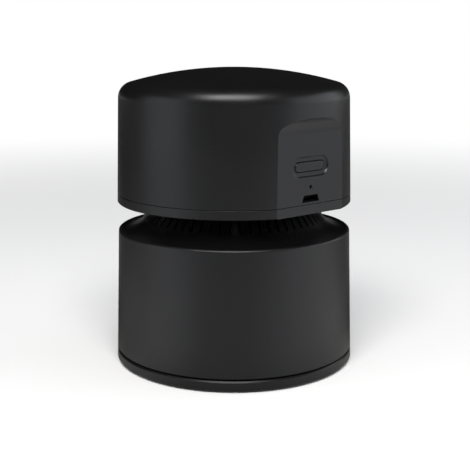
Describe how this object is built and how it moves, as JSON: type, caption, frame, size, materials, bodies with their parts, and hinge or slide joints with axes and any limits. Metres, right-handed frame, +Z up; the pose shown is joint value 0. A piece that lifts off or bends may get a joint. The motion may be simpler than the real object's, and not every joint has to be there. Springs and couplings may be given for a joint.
{
  "type": "desktop mini vacuum cleaner",
  "caption": "Palm-sized round battery vacuum for desks: domed power head over a slotted waist and a dust cup with brush intake underneath, push button and charging socket on a flat panel.",
  "frame": {"origin": "middle of the face it stands on, on the body's axis", "axes": "+Z up along the round body's axis; the flat control panel faces -Y, so the button is pressed along +Y"},
  "size_m": [0.0824, 0.0824, 0.1004],
  "materials": {
    "black_plastic": "satin, fine moulded grain",
    "dark_plastic": "matt, moulded",
    "button_plastic": "satin, moulded",
    "grey_plastic": "matt, moulded",
    "white_plastic": "matt, moulded",
    "clear_plastic": "clear, polished",
    "black_rubber": "matt, soft",
    "grey_rubber": "matt, soft",
    "nylon_bristle": "fine bristles",
    "filter_cloth": "fine woven mesh",
    "zinc_steel": "zinc plated",
    "motor_steel": "plated, drawn",
    "shaft_steel": "ground",
    "core_steel": "stacked sheets",
    "magnet_black": "sintered, matt",
    "brass": "plain",
    "nickel": "plated",
    "cell_wrap": "shrink sleeve",
    "board_green": "solder mask",
    "lead_red": "insulation"
  },
  "bodies": {
    "base": {"base_cover": "black_plastic", "base_seal": "black_rubber", "glide_feet": "grey_rubber", "brush_ring": "dark_plastic", "brush_tufts": "nylon_bristle"},
    "dust_cup": {"dust_cup": "black_plastic", "vent_collar": "dark_plastic"},
    "power_unit": {"head_base": "black_plastic", "shell_screws": "zinc_steel", "top_shell": "black_plastic", "motor_mount": "grey_plastic", "mount_gasket": "grey_rubber", "mount_screws": "zinc_steel", "fan_casing": "dark_plastic", "casing_screws": "zinc_steel", "neck_seal": "grey_rubber", "motor_can": "motor_steel", "motor_end_cap": "white_plastic", "motor_terminals": "brass", "motor_magnets": "magnet_black", "motor_screws": "zinc_steel", "battery_cell": "cell_wrap", "battery_tabs": "nickel", "battery_holder": "grey_plastic", "holder_screws": "zinc_steel", "circuit_board": "board_green", "board_screws": "zinc_steel", "usb_shell": "nickel", "usb_tongue": "dark_plastic", "tact_switch": "dark_plastic", "status_led": "white_plastic", "light_pipe": "clear_plastic", "motor_leads": "lead_red", "battery_leads": "lead_red"},
    "fan_rotor": {"impeller": "grey_plastic", "motor_shaft": "shaft_steel", "armature": "core_steel"},
    "filter": {"filter_frame": "grey_plastic", "filter_mesh": "filter_cloth"},
    "power_button": {"power_button": "button_plastic", "switch_plunger": "white_plastic"}
  },
  "joints": [
    {"name": "base_twist", "type": "hinge", "parent": "base", "child": "dust_cup", "pos_m": [0, 0, 0.0075], "axis": [0, 0, 1], "range_deg": [0, 20]},
    {"name": "head_lift", "type": "slide", "parent": "dust_cup", "child": "power_unit", "axis": [0, 0, 1], "range_m": [0, 0.045]},
    {"name": "filter_twist", "type": "hinge", "parent": "power_unit", "child": "filter", "pos_m": [0, 0, 0.038], "axis": [0, 0, 1], "range_deg": [0, 20]},
    {"name": "fan_spin", "type": "hinge", "parent": "power_unit", "child": "fan_rotor", "pos_m": [0, 0, 0.05], "axis": [0, 0, 1], "continuous": true},
    {"name": "button_press", "type": "slide", "parent": "power_unit", "child": "power_button", "axis": [0, 1, 0], "range_m": [0, 0.0005], "stiffness_N_per_m": 1500}
  ]
}
